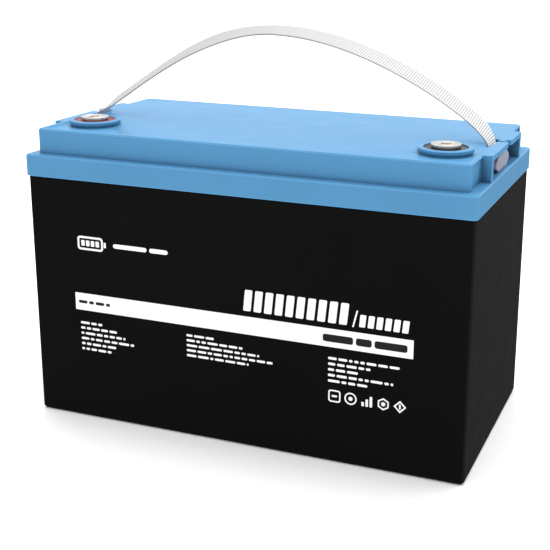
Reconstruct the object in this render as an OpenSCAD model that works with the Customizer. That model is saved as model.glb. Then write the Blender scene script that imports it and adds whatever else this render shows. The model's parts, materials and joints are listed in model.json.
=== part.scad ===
/* [Case] */
// Length of the case under the lid
case_l = 328; // [326:0.5:329]
// Width of the case under the lid
case_w = 170; // [168:0.5:171]
// Height of the case wall up to the lid's skirt
case_h = 181; // [176:0.5:184]
// Thickness of the case wall and floor
case_wall = 4; // [3:0.5:4]
// Radius of the case's upright corners
case_corner_r = 3.5; // [2:0.5:6]

/* [Lid] */
// Length over the lid's skirt
lid_l = 330; // [329:0.5:334]
// Width over the lid's skirt
lid_w = 172; // [171:0.5:176]
// Height of the lid's rim, from the ground
rim_z = 197; // [195:0.5:199]
// Height of the lid's top, from the ground
top_z = 215; // [213:0.5:217]
// Set-back of the raised top from the skirt
step_inset = 7; // [5:0.5:8]
// Thickness of the lid's plates
lid_wall = 3.5; // [2.5:0.5:4]
// Depth of the sloping recess around each terminal
recess_depth = 1.5; // [0.8:0.1:2.4]

/* [Handle] */
// Width of the strap
strap_w = 22; // [18:1:23]
// Thickness of the strap
strap_t = 1.4; // [1:0.1:1.6]
// Height of the strap's crown from the ground, when the strap stands straight up
crown_z = 286.5; // [270:0.5:295]
// Angle that the strap leans to the front by, at rest
strap_lean = 11.5; // [0:0.5:15]
// Twist of the strap's left half towards the front, in degrees
strap_twist = 11; // [0:1:14]
// Half the width of a handle housing
housing_half_w = 47; // [40:1:52]
// Clearance above a strap stop, which is how far the strap lifts
strap_lift = 3; // [2:0.5:4]

/* [Terminals] */
// Distance of each terminal from the middle, along the length
terminal_x = 132.5; // [125:0.5:134]
// Distance of each terminal in front of the middle
terminal_y = 43; // [38:0.5:52]
// Height of the terminal's contact face, from the ground
terminal_z = 220; // [219:0.5:222]
// Radius of the terminal's contact disc
disc_r = 10; // [9:0.5:11]
// Wall radius of the M8 threaded hole
thread_r = 3.4; // [3.3:0.1:3.5]
// Depth of the M8 threaded hole
thread_depth = 12; // [10:0.5:13]

/* [Cells] */
// Thickness of a cell, along the length of the case
cell_t = 50; // [48:0.5:50]
// Width of a cell, across the case
cell_w = 160; // [150:1:160]
// Height of a cell's can
cell_h = 118.5; // [110:0.5:119]
// Distance of each cell post from the middle of the cell
post_y = 46; // [44:0.5:48]

/* [Hidden] */

$fn = 48;

BLUE = [0.45, 0.70, 0.90];
BLACK = [0.08, 0.08, 0.08];
WHITE = [0.93, 0.93, 0.92];
TIN = [0.83, 0.82, 0.80];
COPPER = [0.78, 0.47, 0.30];
ALU = [0.75, 0.76, 0.78];
FOAM = [0.16, 0.16, 0.17];

// Case and lid
skirt_z = case_h + 0.5;
tongue_t = 2;
tongue_z = 191;
seal_z = rim_z - lid_wall;
cavity_l = case_l - 2 * case_wall;
cavity_w = case_w - 2 * case_wall;
step_l = lid_l - 2 * step_inset;
step_w = lid_w - 2 * step_inset;
roof_z = top_z - lid_wall;
floor_z = case_wall;

// Handle housings at the ends of the lid
housing_x = 164.4;
housing_wall = 4;
pocket_x = 152.5;
beam_z = top_z - 3.6;
slot_x = 154.5;
slot_t = 4;
slot_half_w = strap_w / 2 + 1;
lead_in = 2;
stop_top_z = beam_z - strap_lift - 0.2;
stop_half_w = 20;
swing_z = 217;
upright_z = 212;
join_z = 227;

// Terminal stack, from the lid's boss to the lug
boss_r = 18.5;
boss_top_z = 218;
boss_flange_z = 215.2;
boss_z = 203;
ring_seat_r = 15;
ring_seat_z = 214;
ring_top_z = 217.6;
disc_t = 1.6;
post_r = 7.8;
post_z = 196;
lug_t = 2;

// Cell pack
pad_t = 3;
separator_t = 1;
cell_z = floor_z + pad_t;
cell_pitch = cell_t + separator_t;
cell_top_z = cell_z + cell_h;
stack_half_l = 2 * cell_pitch - separator_t / 2;
end_plate_t = 3;
pad_top_z = cell_top_z + 3.5;
busbar_t = 2;
washer_t = 0.6;
nut_z = pad_top_z + busbar_t + washer_t;
stud_r = 3;
stud_top_z = nut_z + 9;

// Battery management board
tray_z = stud_top_z + 6;
tray_t = 2;
board_z = tray_z + tray_t + 5;
board_t = 1.6;
board_top_z = board_z + board_t;
board_y = 25;
fet_h = 4.4;
tab_t = 3;
tab_x = 82;
tab_lug_z = board_top_z + tab_t;

cable_r = 4.5;
lead_r = 0.8;
lead_z = tray_z - 4;
probe_lead_z = lead_z - 3.2;

function cell_x(i) = (i - 2.5) * cell_pitch;
function bezier(p, t) =
    pow(1 - t, 3) * p[0] + 3 * pow(1 - t, 2) * t * p[1]
    + 3 * (1 - t) * t * t * p[2] + t * t * t * p[3];
function curve(p, steps, stop = 1) = [for (i = [0 : steps]) bezier(p, stop * i / steps)];
function unit(v) = v / norm(v);
function heading(p, i) = unit(p[min(i + 1, len(p) - 1)] - p[max(i - 1, 0)]);
function ease(t) = let (s = min(max(t, 0), 1)) s * s * (3 - 2 * s);
function risen(z) = ease((z - upright_z) / (join_z - upright_z));

// Middle line of the strap, as [x, z] points: root, arch, root
root_left = [[-slot_x, 208], [-slot_x, 215.5], [-150.5, 219.6], [-137.5, join_z]];
root_right = [[slot_x, 208], [slot_x, 214], [149.7, 221.6], [144.3, 227.5]];
arch_left = [[-137.5, join_z], [-96.7, 252.8], [-53.2, crown_z], [0, crown_z]];
arch_right = [[0, crown_z], [72.4, crown_z], [138.4, 233.9], [144.3, 227.5]];
tail_z = 202;
root_stop = 0.994;

// Posts that hold a balance tag under their nut: cell number and side
TAGGED = [[1, -1], [2, -1], [4, -1], [3, 1], [1, 1]];
PLAIN = [[3, -1], [2, 1], [4, 1]];
ALL_POSTS = concat(TAGGED, PLAIN);

module rounded_rect(l, w, r) {
    square([l - 2 * r, w], center = true);
    square([l, w - 2 * r], center = true);
    for (x = [-1, 1], y = [-1, 1])
        translate([x * (l / 2 - r), y * (w / 2 - r)]) circle(r);
}

module rounded_block(l, w, h, r) {
    linear_extrude(h) rounded_rect(l, w, r);
}

// A block whose top edge is chamfered
module chamfered_block(l, w, h, r, chamfer) {
    hull() {
        rounded_block(l, w, h - chamfer, r);
        rounded_block(l - 2 * chamfer, w - 2 * chamfer, h, max(r - chamfer, 0.5));
    }
}

module both_ends() {
    children();
    mirror([1, 0, 0]) children();
}

module at_terminals() {
    for (x = [-1, 1])
        translate([x * terminal_x, -terminal_y, 0]) children();
}

module at_posts(list) {
    for (p = list)
        translate([cell_x(p[0]), p[1] * post_y, 0]) children();
}

module hex_bolt(head_af, head_h, shank_r, shank_l) {
    cylinder(r = head_af / sqrt(3), h = head_h, $fn = 6);
    translate([0, 0, -shank_l]) cylinder(r = shank_r, h = shank_l);
}

// A round tube swept along points, ref is a direction that the route avoids
module tube(path, r, ref, sides = 10) {
    n = len(path);
    points = [
        for (i = [0 : n - 1])
            let (t = heading(path, i), a = unit(cross(t, ref)), b = cross(a, t))
                for (k = [0 : sides - 1])
                    path[i] + r * (cos(360 * k / sides) * a + sin(360 * k / sides) * b)
    ];
    start_cap = [for (k = [sides - 1 : -1 : 0]) k];
    end_cap = [for (k = [0 : sides - 1]) (n - 1) * sides + k];
    walls = [
        for (i = [0 : n - 2], k = [0 : sides - 1])
            let (j = (k + 1) % sides)
                [i * sides + k, i * sides + j, (i + 1) * sides + j, (i + 1) * sides + k]
    ];
    polyhedron(points = points, faces = concat([start_cap], walls, [end_cap]));
}

// The strap's band along [x, z] points. It is upright in its slot, and leans to the front and
// twists as it rises
module strap_band(line) {
    n = len(line);
    points = [
        for (i = [0 : n - 1])
            let (
                d = heading(line, i),
                lean = strap_lean * risen(line[i][1]),
                twist = strap_twist * risen(line[i][1]) * ease(-line[i][0] / 60)
            )
                for (k = [[1, 1], [1, -1], [-1, -1], [-1, 1]])
                    let (
                        u = k[1] * strap_w / 2,
                        v = k[0] * strap_t / 2,
                        out = v * cos(twist) + u * sin(twist),
                        x = line[i][0] - d[1] * out,
                        y = u * cos(twist) - v * sin(twist),
                        z = line[i][1] + d[0] * out - swing_z
                    )
                        [x, y * cos(lean) - z * sin(lean), swing_z + y * sin(lean) + z * cos(lean)]
    ];
    walls = [
        for (i = [0 : n - 2], k = [0 : 3])
            let (a = 4 * i + k, b = 4 * i + (k + 1) % 4)
                each [[a, b, b + 4], [a, b + 4, a + 4]]
    ];
    last = 4 * (n - 1);
    polyhedron(points = points,
        faces = concat([[3, 2, 1, 0]], walls, [[last, last + 1, last + 2, last + 3]]));
}

module case() {
    color(BLACK) difference() {
        union() {
            mirror([0, 0, 1]) translate([0, 0, -case_h])
                chamfered_block(case_l, case_w, case_h, case_corner_r, 2);
            translate([0, 0, case_h - 1])
                rounded_block(cavity_l + 2 * tongue_t, cavity_w + 2 * tongue_t,
                    tongue_z - case_h + 1, 2.5);
        }
        translate([0, 0, floor_z]) rounded_block(cavity_l, cavity_w, tongue_z, 2);
    }
}

module lid_outer() {
    translate([0, 0, skirt_z])
        chamfered_block(lid_l, lid_w, rim_z - skirt_z, 3, 0.8);
    translate([0, 0, rim_z - 1])
        chamfered_block(step_l, step_w, top_z - rim_z + 1, 3, 1);
    for (x = [-1, 1])
        translate([x * (housing_x - 12) - 12, -housing_half_w, rim_z - 1])
            cube([24, 2 * housing_half_w, top_z - rim_z + 1]);
}

module lid_cavity() {
    difference() {
        union() {
            translate([0, 0, skirt_z - 1])
                rounded_block(cavity_l + 2 * tongue_t + 0.8, cavity_w + 2 * tongue_t + 0.8,
                    seal_z - skirt_z + 1, 2.5);
            translate([0, 0, seal_z - 1])
                rounded_block(step_l - 2 * lid_wall, step_w - 2 * lid_wall,
                    roof_z - seal_z + 1, 2);
        }
        for (x = [-1, 1])
            translate([x * (pocket_x + 7) - 10, -housing_half_w, seal_z])
                cube([20, 2 * housing_half_w, 30]);
    }
}

// The recess falls from a diagonal crease to a flat floor around the terminal
module terminal_recess() {
    hull() {
        translate([0, 0, top_z - recess_depth])
            linear_extrude(0.01) polygon([[153, -10.5], [90, -73.5], [153, -73.5]]);
        translate([0, 0, top_z])
            linear_extrude(0.5) polygon([[155, -4], [137, -4], [65.5, -75.5], [155, -75.5]]);
    }
}

// A round boss with a rounded flange on a slimmer neck
module terminal_boss() {
    rotate_extrude() polygon([
        [0, boss_z], [boss_r - 0.8, boss_z], [boss_r - 0.8, boss_flange_z - 0.3],
        [boss_r, boss_flange_z + 0.3], [boss_r, boss_top_z - 0.9], [boss_r - 0.4, boss_top_z - 0.3],
        [boss_r - 1.2, boss_top_z], [0, boss_top_z]
    ]);
}

// Pocket, strap slot with its lead-in, and the slit that lets the strap in
module housing_cuts() {
    translate([pocket_x, -housing_half_w + housing_wall, rim_z])
        cube([20, 2 * (housing_half_w - housing_wall), beam_z - rim_z]);
    translate([0, slot_half_w, 0]) rotate([90, 0, 0]) linear_extrude(2 * slot_half_w)
        polygon([
            [slot_x - slot_t / 2, rim_z], [slot_x + slot_t / 2, rim_z],
            [slot_x + slot_t / 2, top_z + 1], [slot_x - slot_t / 2 - lead_in - 1, top_z + 1],
            [slot_x - slot_t / 2, top_z - lead_in]
        ]);
    translate([0, 0, beam_z - 1])
        linear_extrude(6)
            polygon([
                [slot_x, 3], [slot_x, 7], [160, 8], [161.5, 12.5], [170, 13.5],
                [170, -1.5], [162, 4], [160, 3.4]
            ]);
    for (y = [-1, 1])
        translate([step_l / 2 - 1.2, y * (housing_half_w + 13.5) - 13.5, rim_z])
            cube([5, 27, top_z - rim_z - 1.5]);
}

module lid() {
    color(BLUE) difference() {
        union() {
            difference() {
                lid_outer();
                lid_cavity();
                both_ends() terminal_recess();
            }
            at_terminals() terminal_boss();
        }
        at_terminals() translate([0, 0, boss_z - 1]) cylinder(r = post_r + 0.2, h = 20);
        at_terminals() translate([0, 0, ring_seat_z]) cylinder(r = ring_seat_r, h = 10);
        both_ends() housing_cuts();
    }
}

module lid_seal() {
    color([0.25, 0.25, 0.25]) translate([0, 0, tongue_z]) difference() {
        rounded_block(cavity_l + 2 * tongue_t, cavity_w + 2 * tongue_t, seal_z - tongue_z, 2.5);
        translate([0, 0, -1]) rounded_block(cavity_l, cavity_w, 10, 2);
    }
}

// A printed bar on the front of the case, given by its left end and foot
module bar(x, z, l, h) {
    translate([x, -case_w / 2 - 0.2, z]) cube([l, 0.2, h]);
}

module front_print() {
    color(WHITE) {
        bar(-129, 84.5, 256, 13);
        bar(-125, 131, 74, 8);
        bar(5, 101, 77, 16);
        bar(86, 101, 38, 9);
        for (i = [0 : 5])
            bar(-125.5, 53 + 4.1 * i, [26, 30, 44, 37, 30, 20][i], 2.6);
        for (i = [0 : 4])
            bar(-38.7, 61 + 3.7 * i, [48, 66, 56, 44, 22][i], 2.4);
        for (i = [0 : 4])
            bar(68, 59 + 4.1 * i, [28, 46, 22, 30, 50][i], 2.6);
        for (i = [0 : 4])
            bar(68 + 11.6 * i, 44, 8.6, 10);
    }
}

// Tinned post with an M8 hole above and an M6 hole for the lug bolt below
module terminal() {
    difference() {
        union() {
            translate([0, 0, terminal_z - disc_t]) cylinder(r = disc_r, h = disc_t);
            translate([0, 0, post_z]) cylinder(r = post_r, h = terminal_z - disc_t - post_z + 1);
        }
        translate([0, 0, terminal_z - 0.4]) difference() {
            cylinder(r = disc_r - 1.8, h = 1);
            translate([0, 0, -1]) cylinder(r = thread_r + 2, h = 3);
        }
        translate([0, 0, terminal_z - thread_depth]) cylinder(r = thread_r, h = thread_depth + 1);
        translate([0, 0, post_z - 1]) cylinder(r = 3, h = 10.5);
        translate([0, 0, 206.8]) difference() {
            cylinder(r = post_r + 1, h = 2.4);
            translate([0, 0, -1]) cylinder(r = 6.3, h = 5);
        }
    }
}

module terminal_positive() {
    color(TIN) translate([-terminal_x, -terminal_y, 0]) terminal();
}

module terminal_negative() {
    color(TIN) translate([terminal_x, -terminal_y, 0]) terminal();
}

module terminal_ring() {
    difference() {
        translate([0, 0, ring_seat_z]) cylinder(r = ring_seat_r - 0.1, h = ring_top_z - ring_seat_z);
        translate([0, 0, ring_seat_z - 1]) cylinder(r = post_r + 0.1, h = 10);
    }
}

module terminal_ring_positive() {
    color([0.72, 0.20, 0.17]) translate([-terminal_x, -terminal_y, 0]) terminal_ring();
}

module terminal_ring_negative() {
    color([0.10, 0.10, 0.10]) translate([terminal_x, -terminal_y, 0]) terminal_ring();
}

module terminal_o_rings() {
    color([0.05, 0.05, 0.05]) at_terminals() translate([0, 0, 208])
        rotate_extrude() translate([7.15, 0]) circle(0.8);
}

module terminal_nuts() {
    color(TIN) at_terminals() translate([0, 0, boss_z - 5]) difference() {
        cylinder(r = 24 / sqrt(3), h = 5, $fn = 6);
        translate([0, 0, -1]) cylinder(r = post_r + 0.05, h = 7);
    }
}

module terminal_lug_bolts() {
    color(TIN) at_terminals() translate([0, 0, post_z - lug_t])
        mirror([0, 0, 1]) hex_bolt(10, 4, 2.9, 10);
}

module strap_web() {
    line = concat(curve(arch_left, 24), [for (i = [1 : 24]) bezier(arch_right, i / 24)]);
    color(WHITE) strap_band(line);
}

module strap_root_left() {
    color(WHITE) strap_band(concat([[-slot_x, tail_z]], curve(root_left, 10, root_stop)));
}

module strap_root_right() {
    color(WHITE) strap_band(concat([[slot_x, tail_z]], curve(root_right, 10, root_stop)));
}

// A plate wider than the slot, with a socket that the strap's end is moulded into
module strap_stop() {
    foot_z = rim_z + 0.2;
    plate_h = stop_top_z - foot_z;
    color([0.86, 0.84, 0.84]) difference() {
        union() {
            translate([slot_x + 4.1, 0, foot_z + plate_h / 2]) rotate([0, 90, 0])
                linear_extrude(3)
                    polygon([
                        [plate_h / 2, -stop_half_w + 7], [plate_h / 2, stop_half_w - 7],
                        [plate_h / 2 - 4, stop_half_w], [4 - plate_h / 2, stop_half_w],
                        [-plate_h / 2, stop_half_w - 7], [-plate_h / 2, 7 - stop_half_w],
                        [4 - plate_h / 2, -stop_half_w], [plate_h / 2 - 4, -stop_half_w]
                    ]);
            translate([slot_x - 1.6, -strap_w / 2 - 0.8, foot_z + 1])
                cube([6, strap_w + 1.6, plate_h - 2]);
        }
        translate([slot_x - strap_t / 2 - 0.05, -strap_w / 2 - 0.05, tail_z])
            cube([strap_t + 0.1, strap_w + 0.1, 20]);
    }
}

module strap_stop_left() {
    mirror([1, 0, 0]) strap_stop();
}

module strap_stop_right() {
    strap_stop();
}

module cell(i) {
    color([0.18, 0.42, 0.68]) translate([cell_x(i), 0, cell_z])
        rounded_block(cell_t, cell_w, cell_h, 3);
}

module cell_1() { cell(1); }
module cell_2() { cell(2); }
module cell_3() { cell(3); }
module cell_4() { cell(4); }

module cell_vents() {
    color(ALU) for (i = [1 : 4])
        translate([cell_x(i), 0, cell_top_z]) linear_extrude(0.4) {
            square([16, 12], center = true);
            for (x = [-8, 8]) translate([x, 0]) circle(6);
        }
}

module cell_posts() {
    color(ALU) at_posts(ALL_POSTS) {
        translate([0, 0, cell_top_z]) cylinder(r = 8, h = pad_top_z - cell_top_z);
        translate([0, 0, cell_top_z]) cylinder(r = stud_r, h = stud_top_z - cell_top_z);
    }
}

module cell_nuts() {
    color(TIN) at_posts(ALL_POSTS) translate([0, 0, nut_z]) difference() {
        union() {
            cylinder(r = 7, h = 1.5);
            cylinder(r = 10 / sqrt(3), h = 6, $fn = 6);
        }
        translate([0, 0, -1]) cylinder(r = stud_r + 0.05, h = 10);
    }
}

module cell_washers() {
    color(TIN) at_posts(PLAIN) translate([0, 0, nut_z - washer_t]) difference() {
        cylinder(r = 6, h = washer_t);
        translate([0, 0, -1]) cylinder(r = stud_r + 0.2, h = 3);
    }
}

module cell_separators() {
    color([0.35, 0.55, 0.35]) for (i = [1 : 3])
        translate([cell_x(i) + cell_t / 2, -cell_w / 2, cell_z])
            cube([separator_t, cell_w, cell_h - 2]);
}

module end_plate() {
    translate([stack_half_l, -cell_w / 2, cell_z]) cube([end_plate_t, cell_w, cell_h - 6]);
}

module end_plate_left() {
    color([0.35, 0.55, 0.35]) mirror([1, 0, 0]) end_plate();
}

module end_plate_right() {
    color([0.35, 0.55, 0.35]) end_plate();
}

module pack_bands() {
    inner_l = 2 * (stack_half_l + end_plate_t) + 0.4;
    inner_w = cell_w + 0.4;
    color(ALU) for (z = [cell_z + 25, cell_z + 80])
        translate([0, 0, z]) difference() {
            rounded_block(inner_l + 1, inner_w + 1, 12, 0.6);
            translate([0, 0, -1]) rounded_block(inner_l, inner_w, 14, 0.3);
        }
}

module insulation_sheet() {
    color([0.80, 0.72, 0.50]) translate([0, 0, cell_top_z]) difference() {
        rounded_block(2 * stack_half_l, cell_w - 2, 0.5, 2);
        at_posts(ALL_POSTS) translate([0, 0, -1]) cylinder(r = 8.6, h = 3);
        for (i = [1 : 4])
            translate([cell_x(i) - 15, -7, -1]) cube([30, 14, 3]);
    }
}

module busbar(i, side) {
    color(COPPER) translate([(cell_x(i) + cell_x(i + 1)) / 2, side * post_y, pad_top_z])
        difference() {
            rounded_block(cell_pitch + 18, 18, busbar_t, 4);
            for (x = [-1, 1])
                translate([x * cell_pitch / 2, 0, -1]) cylinder(r = stud_r + 0.2, h = 5);
        }
}

module busbar_1_2() { busbar(1, 1); }
module busbar_2_3() { busbar(2, -1); }
module busbar_3_4() { busbar(3, 1); }

// Ring lug: the palm lies on z = 0 and the barrel points along +x
module lug() {
    difference() {
        union() {
            cylinder(r = 8, h = lug_t);
            translate([0, -6, 0]) cube([14, 12, lug_t]);
            translate([12, 0, 5.5]) rotate([0, 90, 0]) cylinder(r = 5.5, h = 14);
        }
        translate([0, 0, -1]) cylinder(r = 3.2, h = 5);
        translate([15, 0, 5.5]) rotate([0, 90, 0]) cylinder(r = cable_r + 0.1, h = 20);
    }
}

module cable_lugs() {
    color(TIN) {
        translate([cell_x(1), -post_y, pad_top_z]) rotate([0, 0, 180]) lug();
        translate([cell_x(4), -post_y, pad_top_z]) lug();
        at_terminals() translate([0, 0, post_z]) rotate([0, 0, 90]) mirror([0, 0, 1]) lug();
        for (y = [board_y - 25, board_y + 25])
            translate([tab_x, y, tab_lug_z]) lug();
    }
}

// Ends of the cables, where each one enters its lug
pack_lug_x = cell_x(4) + 17;
pack_lug_z = pad_top_z + 5.5;
terminal_lug_y = 17 - terminal_y;
terminal_lug_z = post_z - 5.5;
tab_lug_x = tab_x + 17;
tab_cable_z = tab_lug_z + 5.5;

module cable_positive() {
    color([0.75, 0.12, 0.10]) tube(
        concat([[-pack_lug_x, -post_y, pack_lug_z]],
            curve([
                [-pack_lug_x - 10, -post_y, pack_lug_z], [-138, -post_y, pack_lug_z],
                [-terminal_x, 42, terminal_lug_z], [-terminal_x, terminal_lug_y + 10, terminal_lug_z]
            ], 20),
            [[-terminal_x, terminal_lug_y, terminal_lug_z]]),
        cable_r, [0.3, 0.2, 1]);
}

module cable_bms_negative() {
    color([0.10, 0.10, 0.10]) tube(
        concat([[tab_lug_x, board_y - 25, tab_cable_z]],
            curve([
                [tab_lug_x + 10, board_y - 25, tab_cable_z], [140, board_y - 25, tab_cable_z],
                [terminal_x, 40, terminal_lug_z], [terminal_x, terminal_lug_y + 10, terminal_lug_z]
            ], 20),
            [[terminal_x, terminal_lug_y, terminal_lug_z]]),
        cable_r, [-0.3, 0.2, 1]);
}

module cable_pack_negative() {
    color([0.10, 0.10, 0.10]) tube(
        concat([[pack_lug_x, -post_y, pack_lug_z]],
            curve([
                [pack_lug_x + 10, -post_y, pack_lug_z], [146, -post_y, pack_lug_z],
                [146, board_y + 25, tab_cable_z], [tab_lug_x + 10, board_y + 25, tab_cable_z]
            ], 20),
            [[tab_lug_x, board_y + 25, tab_cable_z]]),
        cable_r, [0, 0, 1]);
}

module at_standoffs() {
    for (x = [-1, 1], y = [-22, 68])
        translate([x * cell_pitch, y, 0]) children();
}

module at_board_screws() {
    for (x = [-1, 1], y = [-1, 1])
        translate([x * 71, board_y + y * 36, 0]) children();
}

module bms_tray() {
    color([0.35, 0.55, 0.35]) difference() {
        union() {
            translate([0, 22, tray_z]) rounded_block(176, 108, tray_t, 4);
            at_board_screws() translate([0, 0, tray_z]) cylinder(r = 4, h = board_z - tray_z);
        }
        at_standoffs() translate([0, 0, tray_z - 1]) cylinder(r = 2.2, h = 5);
        at_board_screws() translate([0, 0, tray_z - 1]) cylinder(r = 1.55, h = 10);
    }
}

module bms_standoffs() {
    sheet_top_z = cell_top_z + 0.5;
    color(WHITE) at_standoffs() difference() {
        translate([0, 0, sheet_top_z]) cylinder(r = 4.6, h = tray_z - sheet_top_z, $fn = 6);
        translate([0, 0, tray_z - 12]) cylinder(r = 2, h = 20);
    }
}

module bms_tray_screws() {
    color(TIN) at_standoffs() {
        translate([0, 0, tray_z + tray_t]) cylinder(r = 3.6, h = 2.4);
        translate([0, 0, tray_z - 8]) cylinder(r = 1.9, h = 8 + tray_t + 1);
    }
}

module bms_board() {
    color([0.08, 0.30, 0.16]) translate([0, board_y, board_z]) difference() {
        rounded_block(150, 80, board_t, 3);
        for (x = [-71, 71], y = [-36, 36])
            translate([x, y, -1]) cylinder(r = 1.6, h = 5);
        for (y = [-25, 25])
            translate([tab_x, y, -1]) cylinder(r = 3.4, h = 5);
    }
}

module bms_mosfets() {
    color([0.12, 0.12, 0.13]) for (i = [0 : 7], y = [-1, 1])
        translate([-58 + 13.5 * i, board_y + y * 12 - 4.5, board_top_z]) cube([10, 9, fet_h]);
}

module bms_heat_sink() {
    color(ALU) translate([-62, board_y - 25, board_top_z + fet_h]) {
        cube([112, 50, 3]);
        for (i = [0 : 7])
            translate([0, 6.95 * i, 0]) cube([112, 1.35, 11]);
    }
}

module bms_board_screws() {
    color(TIN) at_board_screws() {
        translate([0, 0, board_top_z]) cylinder(r = 2.8, h = 2);
        translate([0, 0, tray_z + 1]) cylinder(r = 1.5, h = board_top_z - tray_z);
    }
}

module bms_tabs() {
    color(COPPER) for (y = [-25, 25])
        translate([tab_x - 21, board_y + y - 8, board_top_z]) difference() {
            cube([30, 16, tab_t]);
            translate([21, 8, -1]) cylinder(r = 3.2, h = 6);
        }
}

module bms_tab_screws() {
    color(TIN) for (y = [-25, 25])
        translate([tab_x, board_y + y, tab_lug_z + lug_t]) hex_bolt(10, 4, 2.9, 8);
}

plug_x = -84;
plug_z = board_top_z + 4;

module balance_socket() {
    color(WHITE) translate([plug_x + 10, board_y - 14, board_top_z]) cube([10, 28, 8]);
}

module balance_plug() {
    color([0.90, 0.88, 0.82]) translate([plug_x, board_y - 13, board_top_z + 0.8])
        cube([10, 26, 6.4]);
}

// A lead leaves the plug, drops past the tray and runs under it to a post
module lead(pin_y, lane_y, x, y) {
    side = sign(y);
    reach = y - side * 10;
    tube(concat(
            curve([
                [plug_x, pin_y, plug_z], [plug_x - 22, pin_y, plug_z],
                [plug_x - 22, lane_y, lead_z], [plug_x - 2, lane_y, lead_z]
            ], 12),
            curve([
                [x - 4, lane_y, lead_z], [x, lane_y, lead_z],
                [x, lane_y, lead_z], [x, lane_y + side * 4, lead_z]
            ], 4),
            curve([
                [x, reach - side * 14, lead_z], [x, reach - side * 6, lead_z],
                [x, reach - side * 5, nut_z + 0.9], [x, reach, nut_z + 0.9]
            ], 6)
        ), lead_r, [0.02, 0.03, 1], 8);
}

module balance_leads() {
    color([0.85, 0.75, 0.15]) for (i = [0 : 4])
        lead(board_y - 10 + 4 * i, -8 + 4 * i, cell_x(TAGGED[i][0]), TAGGED[i][1] * post_y);
}

module balance_tags() {
    color(TIN) at_posts(TAGGED) translate([0, 0, nut_z - washer_t]) difference() {
        cylinder(r = 5.5, h = washer_t);
        translate([0, 0, -1]) cylinder(r = stud_r + 0.2, h = 3);
    }
    color(TIN) for (p = TAGGED)
        translate([cell_x(p[0]) - 1.5, p[1] * (post_y - 8) - 4, nut_z - washer_t])
            cube([3, 8, washer_t]);
}

// Thermistor bead on cell 2, with its lead to the plug
module temperature_probe() {
    color([0.15, 0.15, 0.15]) {
        translate([cell_x(2) - 4, 11, cell_top_z + 0.5]) cube([8, 6, 2.4]);
        tube(concat(
                curve([
                    [cell_x(2) - 3, 14, cell_top_z + 1.7], [cell_x(2) - 12, 14, cell_top_z + 1.7],
                    [cell_x(2) - 12, 14, probe_lead_z], [cell_x(2) - 24, 14, probe_lead_z]
                ], 10),
                curve([
                    [plug_x - 2, 14, probe_lead_z], [plug_x - 22, 14, probe_lead_z],
                    [plug_x - 22, board_y + 11, plug_z], [plug_x, board_y + 11, plug_z]
                ], 12)
            ), lead_r, [0, 1, 0.02], 8);
    }
}

module foam_floor() {
    color(FOAM) translate([0, 0, floor_z])
        rounded_block(cavity_l - 1, cavity_w - 1, pad_t, 1.6);
}

module foam_block() {
    inner_x = stack_half_l + end_plate_t + 0.7;
    translate([inner_x, 1 - cavity_w / 2, cell_z])
        cube([cavity_l / 2 - 0.5 - inner_x, cavity_w - 2, cell_h]);
}

module foam_left() {
    color(FOAM) mirror([1, 0, 0]) foam_block();
}

module foam_right() {
    color(FOAM) foam_block();
}

case();
lid();
lid_seal();
front_print();
terminal_positive();
terminal_negative();
terminal_ring_positive();
terminal_ring_negative();
terminal_o_rings();
terminal_nuts();
terminal_lug_bolts();
strap_web();
strap_root_left();
strap_root_right();
strap_stop_left();
strap_stop_right();
cell_1();
cell_2();
cell_3();
cell_4();
cell_vents();
cell_posts();
cell_nuts();
cell_washers();
cell_separators();
end_plate_left();
end_plate_right();
pack_bands();
insulation_sheet();
busbar_1_2();
busbar_2_3();
busbar_3_4();
cable_lugs();
cable_positive();
cable_pack_negative();
cable_bms_negative();
bms_tray();
bms_standoffs();
bms_tray_screws();
bms_board();
bms_mosfets();
bms_heat_sink();
bms_board_screws();
bms_tabs();
bms_tab_screws();
balance_socket();
balance_plug();
balance_leads();
balance_tags();
temperature_probe();
foam_floor();
foam_left();
foam_right();
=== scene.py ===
"""Looks of the deep cycle battery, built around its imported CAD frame. Metres, +Z up."""
import json
import math
import random

import bmesh
import bpy
import numpy as np
from mathutils import Matrix, Vector


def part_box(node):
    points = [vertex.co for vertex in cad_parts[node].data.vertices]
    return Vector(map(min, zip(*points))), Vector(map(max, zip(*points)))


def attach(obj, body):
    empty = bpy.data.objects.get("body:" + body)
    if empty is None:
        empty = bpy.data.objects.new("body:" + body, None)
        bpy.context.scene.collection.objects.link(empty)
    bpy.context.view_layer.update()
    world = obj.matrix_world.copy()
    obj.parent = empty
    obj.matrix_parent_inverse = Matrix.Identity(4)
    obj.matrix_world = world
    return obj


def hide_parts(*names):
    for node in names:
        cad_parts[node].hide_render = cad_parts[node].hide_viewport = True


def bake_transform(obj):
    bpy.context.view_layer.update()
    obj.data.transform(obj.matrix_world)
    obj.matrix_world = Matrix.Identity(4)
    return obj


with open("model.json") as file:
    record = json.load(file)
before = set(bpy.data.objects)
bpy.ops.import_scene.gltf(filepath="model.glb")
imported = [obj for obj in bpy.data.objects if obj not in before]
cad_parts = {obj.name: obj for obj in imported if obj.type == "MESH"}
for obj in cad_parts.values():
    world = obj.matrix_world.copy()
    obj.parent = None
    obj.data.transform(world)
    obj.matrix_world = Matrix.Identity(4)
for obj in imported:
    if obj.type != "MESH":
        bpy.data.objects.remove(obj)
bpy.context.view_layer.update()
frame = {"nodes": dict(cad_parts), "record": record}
NODES = frame["nodes"]
MM = 0.001
X, Z = 0, 2
ROOT = "battery"


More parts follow.
